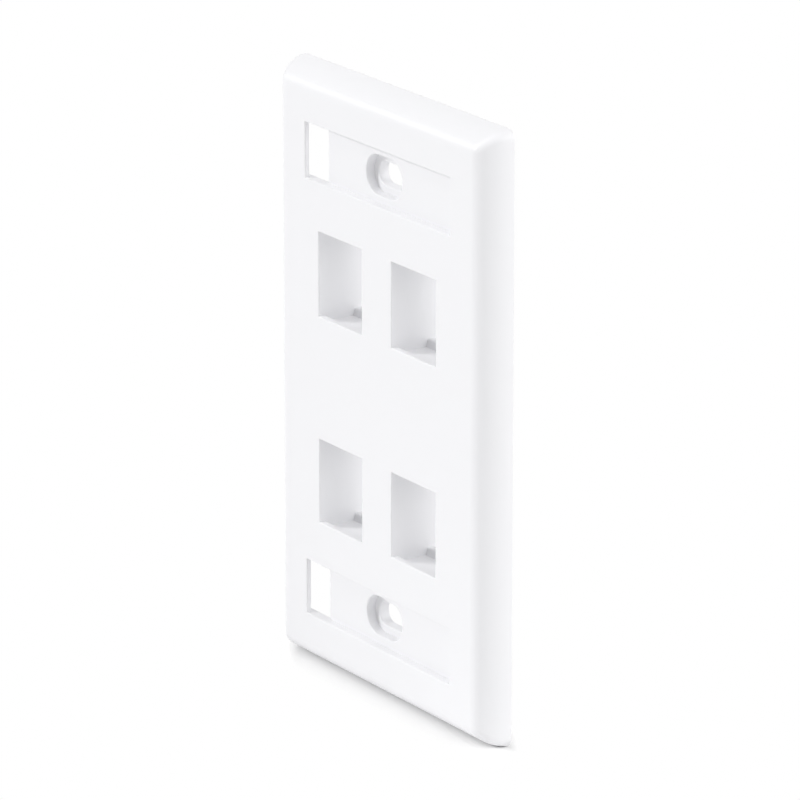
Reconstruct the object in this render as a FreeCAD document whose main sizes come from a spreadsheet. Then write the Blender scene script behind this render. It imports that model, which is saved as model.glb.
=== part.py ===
import FreeCAD, Part
import math
import os
from types import SimpleNamespace
import Sketcher

# Keystone faceplate: a one-gang wall plate, moulded in one piece as an open-backed shell.
# It has four keystone ports in two rows. Above and below them is a label recess, with a hook
# slot at one end and an oblong screw well in its floor.
#
# Frame: the origin is the centre of the wall plane, which the rim rests on. +Z is up, +X is to
# the right seen from the room, and the front face looks along -Y. Lengths are millimetres.

SIZES = [
    # the shell
    ("plate_width", 69.85),
    ("plate_height", 114.3),
    ("rim_depth", 6.3),             # front face to wall plane
    ("rim_inset", 3.2),             # how far the front face stands in from the rim
    ("rim_curve", 8.7),             # radius of the curve from the rim to the front face
    ("corner_rounding", 2.0),       # along the ridges where two of those curves meet
    ("front_rounding", 2.4),        # where the curves meet the front face
    ("side_wall", 2.0),
    ("front_wall", 2.0),
    ("inner_rounding", 2.5),
    # the keystone ports
    ("port_width", 14.5),
    ("port_height", 16.0),
    ("port_pitch", 24.4),           # between the columns
    ("row_pitch", 39.5),            # between the rows
    ("row_offset", -0.4),           # height of the rows' middle above the plate's
    ("port_depth", 9.8),            # front face to the rear end of the port's box
    ("port_wall", 1.5),
    ("lip_depth", 1.2),             # the opening's own length, before the port widens
    ("floor_drop", 1.0),
    ("roof_rise", 2.6),
    ("catch_start", 7.5),           # front face to the catch on the port's floor
    ("catch_height", 1.45),
    ("catch_slope", 0.35),
    ("catch_rounding", 0.5),
    ("catch_lead_in", 0.6),
    ("latch_start", 7.9),           # front face to the ledge under the port's roof
    ("latch_height", 1.3),
    # the label recesses
    ("label_centre", 41.8),         # above and below the plate's middle
    ("label_width", 47.9),
    ("label_height", 10.5),
    ("label_depth", 1.7),
    ("label_floor", 1.5),
    ("label_wall", 1.3),
    ("hook_slot_width", 5.5),
    ("hook_lip", 0.9),              # what is left of the front wall beside the hook slot
    ("hook_reach", 2.4),
    # the screw wells
    ("screw_spacing", 83.34),
    ("well_width", 11.8),
    ("well_height", 7.35),
    ("well_depth", 1.8),            # below the label recess's floor
    ("screw_slot_length", 8.75),
    ("screw_slot_width", 4.4),
    ("screw_ledge", 2.0),
    ("boss_wall", 1.5),
    # the stiffening ribs and the broken edges
    ("rib_thickness", 1.2),
    ("rib_depth", 3.0),
    ("edge_break", 0.25),
    ("back_rounding", 0.3),         # rear ends of the port boxes and the screw bosses
]
CUT_PAST = 1.0                      # how far a cut runs past the face that it opens
SAME = 0.01                         # two coordinates this close are the same


class Formula:
    """A length tied to the sheet: its expression, and the number that it gives now."""

    def __init__(self, text, value):
        self.text = text
        self.value = value

    def joined(self, sign, other, value):
        return Formula("(%s %s %s)" % (self.text, sign, formula(other).text), value)

    def __add__(self, other):
        return self.joined("+", other, self.value + formula(other).value)

    def __sub__(self, other):
        return self.joined("-", other, self.value - formula(other).value)

    def __mul__(self, number):
        return self.joined("*", number, self.value * number)

    def __truediv__(self, number):
        return self.joined("/", number, self.value / number)

    def __neg__(self):
        return Formula("(-%s)" % self.text, -self.value)


def formula(length):
    """A Formula as it is, or a plain number as one."""
    if isinstance(length, Formula):
        return length
    return Formula("%g" % length, length)


doc = FreeCAD.newDocument("keystone_faceplate")
sheet = doc.addObject("Spreadsheet::Sheet", "sizes")
for row, (alias, number) in enumerate(SIZES, start=1):
    sheet.set("A%d" % row, alias)
    sheet.set("B%d" % row, str(number))
    sheet.setAlias("B%d" % row, alias)
doc.recompute()
size = SimpleNamespace(**{alias: Formula("sizes." + alias, sheet.get(alias)) for alias, _ in SIZES})

body = doc.addObject("PartDesign::Body", "faceplate")
body.Label = "faceplate"
origin = {feature.Role: feature for feature in body.Origin.OriginFeatures}


# ---------------------------------------------------------------- sketches

def new_sketch(name, plane, offset):
    """A sketch parallel to an origin plane. On XZ_Plane, offset runs from the wall to the room."""
    sketch = body.newObject("Sketcher::SketchObject", name)
    sketch.AttachmentSupport = [(origin[plane], "")]
    sketch.MapMode = "FlatFace"
    sketch.setExpression("AttachmentOffset.Base.z", formula(offset).text)
    return sketch


def constrain(sketch, kind, *where, length=None):
    """Adds one constraint, bound to a formula where it has a length."""
    if length is None:
        sketch.addConstraint(Sketcher.Constraint(kind, *where))
        return
    index = sketch.addConstraint(Sketcher.Constraint(kind, *where, length.value))
    sketch.setExpression("Constraints[%d]" % index, length.text)


def pin_point(sketch, edge, end, across, up):
    """Ties one point of the sketch to the origin by two formulas."""
    constrain(sketch, "DistanceX", -1, 1, edge, end, length=formula(across))
    constrain(sketch, "DistanceY", -1, 1, edge, end, length=formula(up))


def draw_outline(sketch, corners):
    """A closed outline of straight lines through corners, each a pair of formulas."""
    points = [FreeCAD.Vector(formula(x).value, formula(y).value, 0) for x, y in corners]
    lines = [Part.LineSegment(a, b) for a, b in zip(points, points[1:] + points[:1])]
    first = sketch.addGeometry(lines, False)[0]
    count = len(corners)
    for i in range(count):
        constrain(sketch, "Coincident", first + i, 2, first + (i + 1) % count, 1)
    for i, (across, up) in enumerate(corners):
        pin_point(sketch, first + i, 1, across, up)


def draw_rectangle(sketch, left, right, low, high):
    draw_outline(sketch, [(left, low), (right, low), (right, high), (left, high)])


def draw_oblong(sketch, middle, length, width):
    """A slot shape lying across the plate, centred on x = 0 at the height middle."""
    reach = (length - width) / 2
    radius = width / 2
    s, r, z = reach.value, radius.value, middle.value
    right_centre = FreeCAD.Vector(s, z, 0)
    left_centre = FreeCAD.Vector(-s, z, 0)
    axis = FreeCAD.Vector(0, 0, 1)
    quarter = math.pi / 2
    shape = [
        Part.LineSegment(FreeCAD.Vector(-s, z - r, 0), FreeCAD.Vector(s, z - r, 0)),
        Part.ArcOfCircle(Part.Circle(right_centre, axis, r), -quarter, quarter),
        Part.LineSegment(FreeCAD.Vector(s, z + r, 0), FreeCAD.Vector(-s, z + r, 0)),
        Part.ArcOfCircle(Part.Circle(left_centre, axis, r), quarter, 3 * quarter),
    ]
    low, right, high, left = sketch.addGeometry(shape, False)
    constrain(sketch, "Tangent", low, 2, right, 1)
    constrain(sketch, "Tangent", right, 2, high, 1)
    constrain(sketch, "Tangent", high, 2, left, 1)
    constrain(sketch, "Tangent", left, 2, low, 1)
    constrain(sketch, "Equal", right, left)
    constrain(sketch, "Radius", right, length=radius)
    pin_point(sketch, right, 3, reach, middle)
    pin_point(sketch, left, 3, -reach, middle)


def draw_rim_cut(sketch, half, side, place):
    """What the rim's curve leaves off one side of the block: straight lines, closed by an arc.

    half is the distance from the plate's middle to the rim, and side is 1 or -1. place turns a
    distance from the middle and a place along Y into the sketch's own two coordinates."""
    rim = half * side
    crest = (half - size.rim_inset) * side
    outside = (half + CUT_PAST) * side
    face = -size.rim_depth
    before = face - CUT_PAST
    corners = [place(crest, face), place(crest, before), place(outside, before),
               place(outside, formula(0)), place(rim, formula(0))]
    points = [FreeCAD.Vector(across.value, up.value, 0) for across, up in corners]
    first = sketch.addGeometry([Part.LineSegment(a, b) for a, b in zip(points, points[1:])], False)[0]
    last = first + len(points) - 2
    for line in range(first, last):
        constrain(sketch, "Coincident", line, 2, line + 1, 1)
    for i, (across, up) in enumerate(corners[:-1]):
        pin_point(sketch, first + i, 1, across, up)
    pin_point(sketch, last, 2, *corners[-1])

    start, end, outer = points[-1], points[0], points[2]
    middle = (start + end) / 2
    outward = FreeCAD.Vector(end.y - start.y, start.x - end.x, 0).normalize()
    if outward.dot(outer - middle) < 0:
        outward = outward * -1
    radius = size.rim_curve.value
    bulge = radius - math.sqrt(radius ** 2 - (end - start).Length ** 2 / 4)
    arc = sketch.addGeometry(Part.Arc(start, middle + outward * bulge, end), False)
    near = 1 if sketch.getPoint(arc, 1).isEqual(start, SAME) else 2
    constrain(sketch, "Coincident", last, 2, arc, near)
    constrain(sketch, "Coincident", arc, 3 - near, first, 1)
    constrain(sketch, "Radius", arc, length=size.rim_curve)


# ---------------------------------------------------------------- features

def pad(name, sketch, length, to_wall=False):
    """Material from the sketch towards the room, or towards the wall."""
    feature = body.newObject("PartDesign::Pad", name)
    feature.Profile = sketch
    feature.setExpression("Length", formula(length).text)
    feature.Reversed = to_wall
    return feature


def pocket(name, sketch, length=None, to_room=False):
    """A cut from the sketch towards the wall, or towards the room. With no length it goes through."""
    feature = body.newObject("PartDesign::Pocket", name)
    feature.Profile = sketch
    feature.Reversed = to_room
    if length is None:
        feature.Type = "ThroughAll"
    else:
        feature.setExpression("Length", formula(length).text)
    return feature


def round_edges(name, base, radius, chosen):
    """A fillet on the edges of base that chosen picks."""
    doc.recompute()
    edges = enumerate(base.Shape.Edges, start=1)
    names = ["Edge%d" % number for number, edge in edges if chosen(edge.BoundBox)]
    if not names:
        raise RuntimeError("%s finds no edge to round" % name)
    feature = body.newObject("PartDesign::Fillet", name)
    feature.Base = (base, names)
    feature.setExpression("Radius", formula(radius).text)
    return feature


def lies_at(box, depth):
    """Whether an edge's box lies in the plane y = depth."""
    return abs(box.YMin - depth) < SAME and abs(box.YMax - depth) < SAME


# Heights above the wall plane, towards the room.
wall_plane = formula(0)
front_face = size.rim_depth
inner_face = size.rim_depth - size.front_wall
half_width = size.plate_width / 2
half_height = size.plate_height / 2

# ---- the shell: a block whose sides curve in to a smaller front face, hollowed from the wall side
block_sketch = new_sketch("block_sketch", "XZ_Plane", wall_plane)
draw_rectangle(block_sketch, -half_width, half_width, -half_height, half_height)
block = pad("block", block_sketch, front_face)

sides_sketch = new_sketch("sides_sketch", "XY_Plane", formula(0))
ends_sketch = new_sketch("ends_sketch", "YZ_Plane", formula(0))
for side in (1, -1):
    draw_rim_cut(sides_sketch, half_width, side, lambda across, along_y: (across, along_y))
    draw_rim_cut(ends_sketch, half_height, side, lambda across, along_y: (along_y, across))
curved_sides = pocket("curved_sides", sides_sketch, size.plate_height + CUT_PAST * 2)
curved_sides.Midplane = True
curved_ends = pocket("curved_ends", ends_sketch, size.plate_width + CUT_PAST * 2)
curved_ends.Midplane = True

soft_corners = round_edges(
    "soft_corners", curved_ends, size.corner_rounding,
    lambda box: box.YLength > size.rim_depth.value - SAME)
soft_front = round_edges(
    "soft_front", soft_corners, size.front_rounding,
    lambda box: lies_at(box, -size.rim_depth.value))

inner_width = half_width - size.side_wall
inner_height = half_height - size.side_wall
hollow_sketch = new_sketch("hollow_sketch", "XZ_Plane", wall_plane)
draw_rectangle(hollow_sketch, -inner_width, inner_width, -inner_height, inner_height)
hollow = pocket("hollow", hollow_sketch, inner_face, to_room=True)


def on_hollow(box):
    """The hollow's four corners and the four edges of its bed."""
    inside = box.XMin > -half_width.value + SAME and box.XMax < half_width.value - SAME
    inside = inside and abs(box.ZMin) < half_height.value - SAME
    corner = inside and abs(box.YLength - inner_face.value) < SAME
    return corner or (inside and lies_at(box, -inner_face.value))


soft_hollow = round_edges("soft_hollow", hollow, size.inner_rounding, on_hollow)

# ---- stiffening ribs on the back of the front wall: a spine and a cross rib
half_rib = size.rib_thickness / 2
spine_sketch = new_sketch("spine_sketch", "XZ_Plane", inner_face)
draw_rectangle(spine_sketch, -half_rib, half_rib, -size.label_centre, size.label_centre)
spine = pad("spine", spine_sketch, size.rib_depth, to_wall=True)
cross_sketch = new_sketch("cross_sketch", "XZ_Plane", inner_face)
draw_rectangle(cross_sketch, -inner_width, inner_width,
               size.row_offset - half_rib, size.row_offset + half_rib)
cross_rib = pad("cross_rib", cross_sketch, size.rib_depth, to_wall=True)

# ---- the upper label recess, its hook slot and its screw well, then the same below
label_left = -size.label_width / 2
label_right = size.label_width / 2
label_low = size.label_centre - size.label_height / 2
label_high = size.label_centre + size.label_height / 2
hook_slot_right = label_left + size.hook_slot_width
recess_floor = front_face - size.label_depth
well_floor = recess_floor - size.well_depth
screw_height = size.screw_spacing / 2

floor_sketch = new_sketch("floor_sketch", "XZ_Plane", recess_floor - size.label_floor)
draw_rectangle(floor_sketch, hook_slot_right, label_right + size.label_wall,
               label_low - size.label_wall, label_high + size.label_wall)
label_pan = pad("label_pan", floor_sketch,
                size.label_depth + size.label_floor - size.front_wall / 2)

boss_sketch = new_sketch("boss_sketch", "XZ_Plane", well_floor - size.screw_ledge)
draw_oblong(boss_sketch, screw_height, size.well_width + size.boss_wall * 2,
            size.well_height + size.boss_wall * 2)
boss = pad("boss", boss_sketch, size.well_depth + size.screw_ledge)

recess_sketch = new_sketch("recess_sketch", "XZ_Plane", front_face)
draw_rectangle(recess_sketch, label_left, label_right, label_low, label_high)
recess = pocket("recess", recess_sketch, size.label_depth)

slot_sketch = new_sketch("slot_sketch", "XZ_Plane", front_face)
draw_rectangle(slot_sketch, label_left, hook_slot_right, label_low, label_high)
hook_slot = pocket("hook_slot", slot_sketch)

hook_sketch = new_sketch("hook_sketch", "XZ_Plane", wall_plane)
draw_rectangle(hook_sketch, label_left - size.hook_reach, hook_slot_right, label_low, label_high)
hook_gap = pocket("hook_gap", hook_sketch, front_face - size.hook_lip, to_room=True)

well_sketch = new_sketch("well_sketch", "XZ_Plane", front_face)
draw_oblong(well_sketch, screw_height, size.well_width, size.well_height)
well = pocket("well", well_sketch, size.label_depth + size.well_depth)

screw_sketch = new_sketch("screw_sketch", "XZ_Plane", front_face)
draw_oblong(screw_sketch, screw_height, size.screw_slot_length, size.screw_slot_width)
screw_slot = pocket("screw_slot", screw_sketch)

both_labels = body.newObject("PartDesign::Mirrored", "both_labels")
both_labels.Originals = [label_pan, boss, recess, hook_slot, hook_gap, well, screw_slot]
both_labels.MirrorPlane = (origin["XY_Plane"], [""])
body.Tip = both_labels

# ---- one keystone port: a box through the front wall, hollowed along a side profile
port_x = -size.port_pitch / 2
port_z = size.row_offset - size.row_pitch / 2
opening_low = port_z - size.port_height / 2
opening_high = port_z + size.port_height / 2
port_floor = opening_low - size.floor_drop
port_roof = opening_high + size.roof_rise
rear_end = front_face - size.port_depth
half_box = size.port_width / 2 + size.port_wall

box_sketch = new_sketch("box_sketch", "XZ_Plane", rear_end)
draw_rectangle(box_sketch, port_x - half_box, port_x + half_box,
               port_floor - size.port_wall, port_roof + size.port_wall)
port_box = pad("port_box", box_sketch, size.port_depth - size.front_wall / 2)

# Distances along Y from the wall plane, which are minus below the front face.
mouth = -front_face - CUT_PAST
lip_back = size.lip_depth - front_face
catch_foot = size.catch_start - front_face
catch_crest = catch_foot + size.catch_slope
catch_top = port_floor + size.catch_height
latch_foot = size.latch_start - front_face
latch_tip = port_roof - size.latch_height
rear = size.port_depth - front_face
lead_start = rear - size.catch_lead_in
past_rear = rear + CUT_PAST
lead_end = catch_top - size.catch_lead_in - CUT_PAST

void_sketch = new_sketch("void_sketch", "YZ_Plane", port_x)
draw_outline(void_sketch, [
    (mouth, opening_low),
    (lip_back, opening_low),
    (lip_back, port_floor),
    (catch_foot, port_floor),
    (catch_crest, catch_top),
    (lead_start, catch_top),
    (past_rear, lead_end),
    (past_rear, latch_tip),
    (latch_foot, latch_tip),
    (latch_foot, port_roof),
    (lip_back, port_roof),
    (lip_back, opening_high),
    (mouth, opening_high),
])
port_void = pocket("port_void", void_sketch, size.port_width)
port_void.Midplane = True

# ---- the port repeats in two columns and two rows
ports = body.newObject("PartDesign::LinearPattern", "ports")
ports.Originals = [port_box, port_void]
ports.Direction = (origin["X_Axis"], [""])
ports.Occurrences = 2
ports.setExpression("Length", size.port_pitch.text)
ports.Direction2 = (origin["Z_Axis"], [""])
ports.Occurrences2 = 2
ports.setExpression("Length2", size.row_pitch.text)
body.Tip = ports


def on_catch(box):
    """The front crest of each port's catch, which runs across the port."""
    across = abs(box.XLength - size.port_width.value) < SAME
    return across and lies_at(box, catch_crest.value)


def on_rim(box):
    """The front edges of the ports and the label recesses, but not of the plate itself."""
    flat = max(abs(box.XMin), abs(box.XMax)) < half_width.value - size.rim_inset.value - SAME
    return flat and box.ZLength < size.port_height.value + SAME and lies_at(box, -front_face.value)


def off_screw(box):
    """How far an edge reaches, up or down, from the middle of the nearer screw slot."""
    return max(abs(abs(height) - screw_height.value) for height in (box.ZMin, box.ZMax))


def on_well(box):
    """The front edges of the screw wells, and of the slots in their floors."""
    well_rim = lies_at(box, -recess_floor.value) and off_screw(box) < size.well_height.value / 2 + SAME
    slot_rim = lies_at(box, -well_floor.value) and off_screw(box) < size.screw_slot_width.value / 2 + SAME
    return well_rim or slot_rim


def on_back(box):
    """The outer edges at the rear ends of the port boxes and the screw bosses."""
    wide = abs(box.XLength - half_box.value * 2) < SAME
    tall = abs(box.ZLength - (port_roof - port_floor + size.port_wall * 2).value) < SAME
    on_box = (wide or tall) and lies_at(box, -rear_end.value)
    on_boss = lies_at(box, size.screw_ledge.value - well_floor.value)
    return on_box or (on_boss and off_screw(box) > size.well_height.value / 2 + SAME)


soft_catches = round_edges("soft_catches", ports, size.catch_rounding, on_catch)
soft_rims = round_edges("soft_rims", soft_catches, size.edge_break, on_rim)
soft_wells = round_edges("soft_wells", soft_rims, size.edge_break, on_well)
soft_backs = round_edges("soft_backs", soft_wells, size.back_rounding, on_back)
doc.recompute()

# ---------------------------------------------------------------- checks and files

for item in doc.Objects:
    if "Invalid" in item.State or "Error" in item.State:
        raise RuntimeError("%s failed: %s" % (item.Name, item.State))
shape = body.Shape
if shape.isNull() or not shape.isValid():
    raise RuntimeError("the faceplate has no valid shape")
if len(shape.Solids) != 1:
    raise RuntimeError("the faceplate is %d solids, not one" % len(shape.Solids))

os.makedirs("parts", exist_ok=True)
shape.exportStep("parts/%s.step" % body.Label)
extent = shape.BoundBox
print("faceplate: %.2f x %.2f x %.2f mm, %.0f cubic mm, %d faces" % (
    extent.XLength, extent.YLength, extent.ZLength, shape.Volume, len(shape.Faces)))
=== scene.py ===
# %% [markdown]
# # A white keystone faceplate
# A faceplate is the moulded plastic cover of a network outlet. This one has four keystone ports and two
# label recesses. Its shape is already finished in CAD, so this lesson loads that shape as a fixed frame,
# and then looks after what CAD does not carry: the camera, the studio, and the finish of the plastic.

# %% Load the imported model
import math

import bmesh
import bpy
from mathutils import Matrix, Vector


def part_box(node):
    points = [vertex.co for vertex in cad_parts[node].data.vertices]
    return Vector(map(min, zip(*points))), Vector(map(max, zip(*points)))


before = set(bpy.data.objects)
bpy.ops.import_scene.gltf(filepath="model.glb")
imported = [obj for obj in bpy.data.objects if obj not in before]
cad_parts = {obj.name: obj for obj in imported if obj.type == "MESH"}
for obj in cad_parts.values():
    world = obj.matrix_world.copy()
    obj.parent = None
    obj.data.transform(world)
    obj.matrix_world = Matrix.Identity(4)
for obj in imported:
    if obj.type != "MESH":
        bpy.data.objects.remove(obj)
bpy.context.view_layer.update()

print("nodes:", sorted(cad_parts))

# %% [markdown]
# ## The measures that everything hangs on
# The faceplate's own box gives them: where its front face is, where its lower edge stands and how wide it
# is. Typed numbers would do too, but reading them from the loaded model keeps the camera and the floor in
# place when the CAD changes.

# %% Read the faceplate's box
MM = 0.001
plate_low, plate_high = (Vector(corner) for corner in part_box("faceplate"))
plate_size = plate_high - plate_low
plate_middle = (plate_low + plate_high) / 2
print("faceplate, in mm:", [round(side / MM, 2) for side in plate_size])

# %% [markdown]
# ## The camera
# A small product is shown well from far away through a long lens, because that keeps its edges nearly
# parallel. The camera stands to the right of the faceplate and a little above it. Its turn and its rise
# are two angles about the middle of the front face, which is easier to reason about than a position. A
# small sidestep and lift then settle where the faceplate sits in the frame.

# %% Place the camera
CAMERA_TURN = math.radians(57.10)
CAMERA_RISE = math.radians(16.84)
CAMERA_DISTANCE = 1103.5 * MM
CAMERA_SIDESTEP = 4.29 * MM
CAMERA_LIFT = 0.30 * MM
CAMERA_LENS = 274.9                 # in mm, on Blender's own 36 mm sensor
CAMERA_SIGHT = 50.0                 # in metres, far enough for the whole floor

front_centre = Vector((plate_middle.x, plate_low.y, plate_middle.z))
to_camera = Vector((math.sin(CAMERA_TURN) * math.cos(CAMERA_RISE),
                    -math.cos(CAMERA_TURN) * math.cos(CAMERA_RISE),
                    math.sin(CAMERA_RISE)))
camera_data = bpy.data.cameras.new("camera")
camera_data.lens = CAMERA_LENS
camera_data.clip_end = CAMERA_SIGHT
camera = bpy.data.objects.new("camera", camera_data)
bpy.context.scene.collection.objects.link(camera)
camera.rotation_euler = to_camera.to_track_quat("Z", "Y").to_euler()
camera_right, camera_up, _ = camera.rotation_euler.to_matrix().col
camera.location = (front_centre + CAMERA_DISTANCE * to_camera
                   + CAMERA_SIDESTEP * camera_right + CAMERA_LIFT * camera_up)
bpy.context.scene.camera = camera
bpy.context.scene.view_settings.view_transform = "Standard"
print("camera at", [round(part, 4) for part in camera.location])

# %% [markdown]
# ## Small helpers for node trees
# A procedural material is a chain of nodes, and so is the world's light. Written out node by node, such
# a chain is long and hard to follow. Four helpers keep it short. They empty a tree, fill a socket, add a
# node with its sockets filled by name, and add a node of arithmetic with its sockets filled in order.

# %% Node helpers
def empty_tree(owner):
    """Switch a material or a world to nodes, and clear what it starts with."""
    owner.use_nodes = True
    owner.node_tree.nodes.clear()
    return owner.node_tree


def fill_socket(tree, socket, value):
    """Join an input socket to another node's output, or write a plain value into it."""
    if isinstance(value, bpy.types.NodeSocket):
        tree.links.new(value, socket)
    else:
        socket.default_value = value


def add_node(tree, kind, settings=None, **sockets):
    """Add one node, set its properties, then fill its input sockets by name."""
    node = tree.nodes.new(kind)
    for name, setting in (settings or {}).items():
        setattr(node, name, setting)
    for name, value in sockets.items():
        fill_socket(tree, node.inputs[name.replace("_", " ")], value)
    return node


def add_step(tree, operation, *values):
    """Add one step of arithmetic, and give back its result."""
    step = add_node(tree, "ShaderNodeMath", {"operation": operation})
    for socket, value in zip(step.inputs, values):
        fill_socket(tree, socket, value)
    return step.outputs[0]


print("helpers: empty_tree, fill_socket, add_node, add_step")

# %% [markdown]
# ## The studio's air
# The world gives soft light from all round, well below white. Seen directly, or in a reflection, it is
# plain white. The Light Path node tells the two uses apart, so that the white background puts no more
# diffuse light on the faceplate. The floor needs the same test, so a helper adds its nodes to a tree.

# %% Build the world
WHITE = (1, 1, 1, 1)
SURROUND_LIGHT = 0.247
SURROUND_SEEN = 1.0                 # a strength of 1 is drawn as plain white


def add_seen_test(tree):
    """A socket that is 1 for a ray that looks, mirrors or passes through, and 0 for one that lights."""
    ray = add_node(tree, "ShaderNodeLightPath").outputs
    looks_or_mirrors = add_step(tree, "MAXIMUM", ray["Is Camera Ray"], ray["Is Glossy Ray"])
    return add_step(tree, "MAXIMUM", looks_or_mirrors, ray["Is Transmission Ray"])


world = bpy.data.worlds.new("studio_air")
bpy.context.scene.world = world
air = empty_tree(world)
strength = add_node(air, "ShaderNodeMapRange", Value=add_seen_test(air),
                    To_Min=SURROUND_LIGHT, To_Max=SURROUND_SEEN)
glow = add_node(air, "ShaderNodeBackground", Color=WHITE, Strength=strength.outputs["Result"])
add_node(air, "ShaderNodeOutputWorld", Surface=glow.outputs[0])
print("world light", SURROUND_LIGHT, "and seen as", SURROUND_SEEN)

# %% [markdown]
# ## The lamps
# White plastic shows its shape only through small steps of grey, so the lamps are placed for those steps.
# The key is small and stands in front on the left: it lights the face, and leaves the walls that turn
# away from it grey, darkest in the narrow wells. The broad top lamp fills the label recesses, and with
# the key it draws a bright line along the rounded top edge. The side lamp and the two lamps behind reach
# the right flank and, through the openings, the walls of the ports. A sun lamp is used for each, because
# its light is equally strong over the whole floor, and its width sets how soft its shadows are.

# %% Hang the lamps
def hang_lamp(name, turn, rise, energy, width):
    """A soft sun. turn runs from the front to the right, rise from the floor up, all in degrees."""
    around, up = math.radians(turn), math.radians(rise)
    direction = Vector((math.sin(around) * math.cos(up), -math.cos(around) * math.cos(up), math.sin(up)))
    lamp_data = bpy.data.lights.new(name, "SUN")
    lamp_data.energy = energy
    lamp_data.angle = math.radians(width)
    lamp = bpy.data.objects.new(name, lamp_data)
    lamp.rotation_euler = direction.to_track_quat("Z", "Y").to_euler()
    bpy.context.scene.collection.objects.link(lamp)
    print(name, "shines from", [round(part, 2) for part in direction])


hang_lamp("key_lamp", turn=-38, rise=24, energy=1.49, width=12)
hang_lamp("top_lamp", turn=-20, rise=60, energy=0.60, width=40)
hang_lamp("side_lamp", turn=88, rise=25, energy=0.45, width=40)
hang_lamp("right_back_lamp", turn=110, rise=42, energy=1.20, width=50)
hang_lamp("back_lamp", turn=155, rise=15, energy=0.78, width=50)

# %% [markdown]
# ## The floor
# The faceplate stands on a plain white sheet, wide enough to fill the view. It lies a hair below the
# lower edge, so that two faces never share one plane. The add-plane operator could make it, but bmesh
# builds it without looking at what is selected, which is safer in a script.

# %% Lay the floor
FLOOR_REACH = 6.0                   # in metres, from the middle to each side
FLOOR_GAP = 0.02 * MM

floor_mesh = bpy.data.meshes.new("floor")
sheet = bmesh.new()
bmesh.ops.create_grid(sheet, x_segments=1, y_segments=1, size=FLOOR_REACH)
bmesh.ops.translate(sheet, verts=sheet.verts, vec=(0, 0, plate_low.z - FLOOR_GAP))
sheet.to_mesh(floor_mesh)
sheet.free()
floor = bpy.data.objects.new("floor", floor_mesh)
bpy.context.scene.collection.objects.link(floor)
print("floor at z =", round(plate_low.z - FLOOR_GAP, 5))

# %% [markdown]
# ## The reach of the shadow
# A product studio lights its sheet so brightly that only the shadow at the foot is left to see. So the
# floor needs to know how far each point lies from the foot, the strip where the lower edge stands. A
# painted mask could say that, but arithmetic on the floor's own coordinates stays sharp and follows the
# plate's size. Across the foot it counts how far a point lies in front or behind. Along the foot it
# counts how far the point has passed either end. Both are shares of the shadow's reach on that side. A
# slant slides the shadow to the right in front of the plate, and to the left behind it.

# %% Measure each point's distance from the foot
FOOT_INSET = 1.5 * MM               # the rounded corners lift the foot's ends off the floor
FOOT_FRONT, FOOT_BACK = -2.3 * MM, 0.0       # along Y, from the front of the foot to the wall plane
SHADOW_REACH = 7.0 * MM             # in front and behind
SIDE_SHADOW_REACH = 3.5 * MM        # past the foot's ends
SHADOW_SLANT = 1.55                 # sideways slide, for each step away from the foot

floor_paint = bpy.data.materials.new("white_sheet")
paint = empty_tree(floor_paint)
floor_place = add_node(paint, "ShaderNodeTexCoord").outputs["Object"]
floor_x, floor_y, _ = add_node(paint, "ShaderNodeSeparateXYZ", Vector=floor_place).outputs

foot_y = add_node(paint, "ShaderNodeClamp", Value=floor_y, Min=FOOT_FRONT, Max=FOOT_BACK).outputs[0]
across = add_step(paint, "SUBTRACT", floor_y, foot_y)
along = add_step(paint, "MULTIPLY_ADD", across, SHADOW_SLANT, floor_x)
along = add_step(paint, "SUBTRACT", along, plate_middle.x)
along = add_step(paint, "ABSOLUTE", along)
along = add_step(paint, "SUBTRACT", along, plate_size.x / 2 - FOOT_INSET)
along = add_step(paint, "MAXIMUM", along, 0)
shares = add_node(paint, "ShaderNodeCombineXYZ",
                  X=add_step(paint, "DIVIDE", along, SIDE_SHADOW_REACH),
                  Y=add_step(paint, "DIVIDE", across, SHADOW_REACH))
distance = add_node(paint, "ShaderNodeVectorMath", {"operation": "LENGTH"}, Vector=shares.outputs[0])
print("the shadow fades out within", round(SHADOW_REACH / MM, 1), "mm of the foot")

# %% [markdown]
# ## The white of the floor
# At the foot the sheet is a matt white that takes the light and the true shadow. With the distance it
# fades into an even glow, as white as the background. Lamps strong enough to whiten a matt sheet would
# burn out the plate as well. Only rays that look, mirror or pass through see the glow, so it adds no
# diffuse light to the plate.

# %% Whiten the floor outside the shadow
FLOOR_WHITE = (0.95, 0.95, 0.95, 1)

faded = add_node(paint, "ShaderNodeMapRange", Value=distance.outputs["Value"])
seen_and_faded = add_step(paint, "MULTIPLY", faded.outputs["Result"], add_seen_test(paint))
matt = add_node(paint, "ShaderNodeBsdfDiffuse", Color=FLOOR_WHITE)
even_glow = add_node(paint, "ShaderNodeEmission", Color=WHITE, Strength=SURROUND_SEEN)
sheet_shader = add_node(paint, "ShaderNodeMixShader")
for socket, value in zip(sheet_shader.inputs, (seen_and_faded, matt.outputs[0], even_glow.outputs[0])):
    fill_socket(paint, socket, value)
add_node(paint, "ShaderNodeOutputMaterial", Surface=sheet_shader.outputs[0])
floor_mesh.materials.append(floor_paint)
print("floor material:", floor_paint.name, "with", len(paint.nodes), "nodes")

# %% [markdown]
# ## The moulded plastic
# White ABS leaves its mould with a satin skin. The mould is sparked or blasted, which prints a grain of
# a fraction of a millimetre into the surface: too fine to see as bumps, and enough to break up a
# reflection. The resin also flows in slightly different shades. Noise can stand for all three, because
# none of them has a pattern. A broad noise drifts between two close whites, a finer one lets the satin
# wander a little, and the grain is the finest. Each is set by how many of its cells fit in a metre.

# %% Scatter the noise
DRIFT_PER_METRE = 28
SKIN_PER_METRE = 420
GRAIN_PER_METRE = 3200

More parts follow.
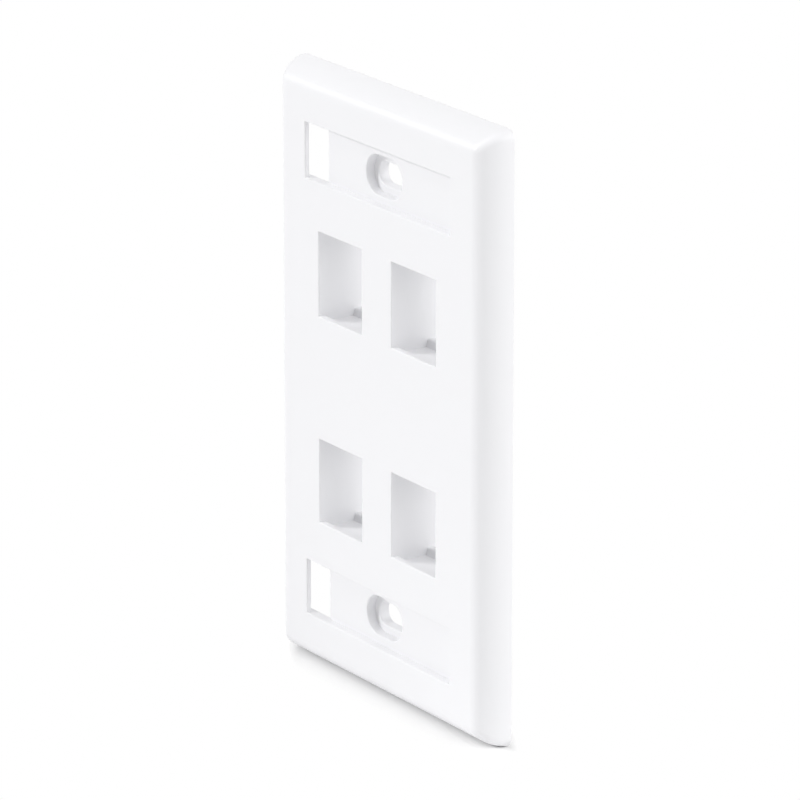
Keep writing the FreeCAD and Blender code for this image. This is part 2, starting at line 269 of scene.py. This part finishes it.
plastic = bpy.data.materials.new("white_moulded_plastic")
resin = empty_tree(plastic)
resin_place = add_node(resin, "ShaderNodeTexCoord").outputs["Object"]


def add_noise(per_metre, detail, roughness):
    """Noise through the whole plastic, as a value from 0 to 1."""
    noise = add_node(resin, "ShaderNodeTexNoise", Vector=resin_place, Scale=per_metre,
                     Detail=detail, Roughness=roughness)
    return noise.outputs["Fac"]


drift = add_noise(DRIFT_PER_METRE, detail=3.0, roughness=0.5)
skin = add_noise(SKIN_PER_METRE, detail=2.0, roughness=0.6)
grain = add_noise(GRAIN_PER_METRE, detail=3.0, roughness=0.6)
print("cells in mm:", [round(1 / (cells * MM), 2) for cells in
                       (DRIFT_PER_METRE, SKIN_PER_METRE, GRAIN_PER_METRE)])

# %% [markdown]
# ## The plastic's colour, satin and relief
# The drift picks the shade, and the skin picks the roughness. The skin and the grain also lift the
# surface a few thousandths of a millimetre, through two bump nodes in a row. Real relief that fine would
# need millions of faces for something that only a reflection shows.

# %% Mix the white plastic
PLASTIC_SHADE, PLASTIC_WHITE = (0.880, 0.880, 0.898, 1), (0.895, 0.895, 0.912, 1)
SATIN_LOW, SATIN_HIGH = 0.36, 0.44
SKIN_HEIGHT, SKIN_STRENGTH = 0.012 * MM, 0.25
GRAIN_HEIGHT, GRAIN_STRENGTH = 0.004 * MM, 0.35
PLASTIC_IOR = 1.5
MIX_FACTOR, MIX_FIRST, MIX_SECOND, MIX_RESULT = 0, 6, 7, 2     # the Mix node's sockets for colours

shade = add_node(resin, "ShaderNodeMix", {"data_type": "RGBA"})
for index, value in (MIX_FACTOR, drift), (MIX_FIRST, PLASTIC_SHADE), (MIX_SECOND, PLASTIC_WHITE):
    fill_socket(resin, shade.inputs[index], value)
satin = add_node(resin, "ShaderNodeMapRange", Value=skin, To_Min=SATIN_LOW, To_Max=SATIN_HIGH)
skin_bump = add_node(resin, "ShaderNodeBump", Height=skin, Distance=SKIN_HEIGHT, Strength=SKIN_STRENGTH)
grain_bump = add_node(resin, "ShaderNodeBump", Height=grain, Distance=GRAIN_HEIGHT,
                      Strength=GRAIN_STRENGTH, Normal=skin_bump.outputs[0])
shader = add_node(resin, "ShaderNodeBsdfPrincipled", Base_Color=shade.outputs[MIX_RESULT],
                  Roughness=satin.outputs["Result"], IOR=PLASTIC_IOR, Normal=grain_bump.outputs[0])
add_node(resin, "ShaderNodeOutputMaterial", Surface=shader.outputs[0])
print("plastic:", plastic.name, "with", len(resin.nodes), "nodes")

# %% [markdown]
# ## The finish goes on
# The faceplate came out of one mould in one shot of plastic, so every slot of its mesh takes the same
# material. The mesh itself stays as the CAD made it.

# %% Give the faceplate its plastic
faceplate = bpy.data.objects["faceplate"]
for slot in faceplate.material_slots:
    slot.material = plastic
print("faceplate slots:", [slot.material.name for slot in faceplate.material_slots])
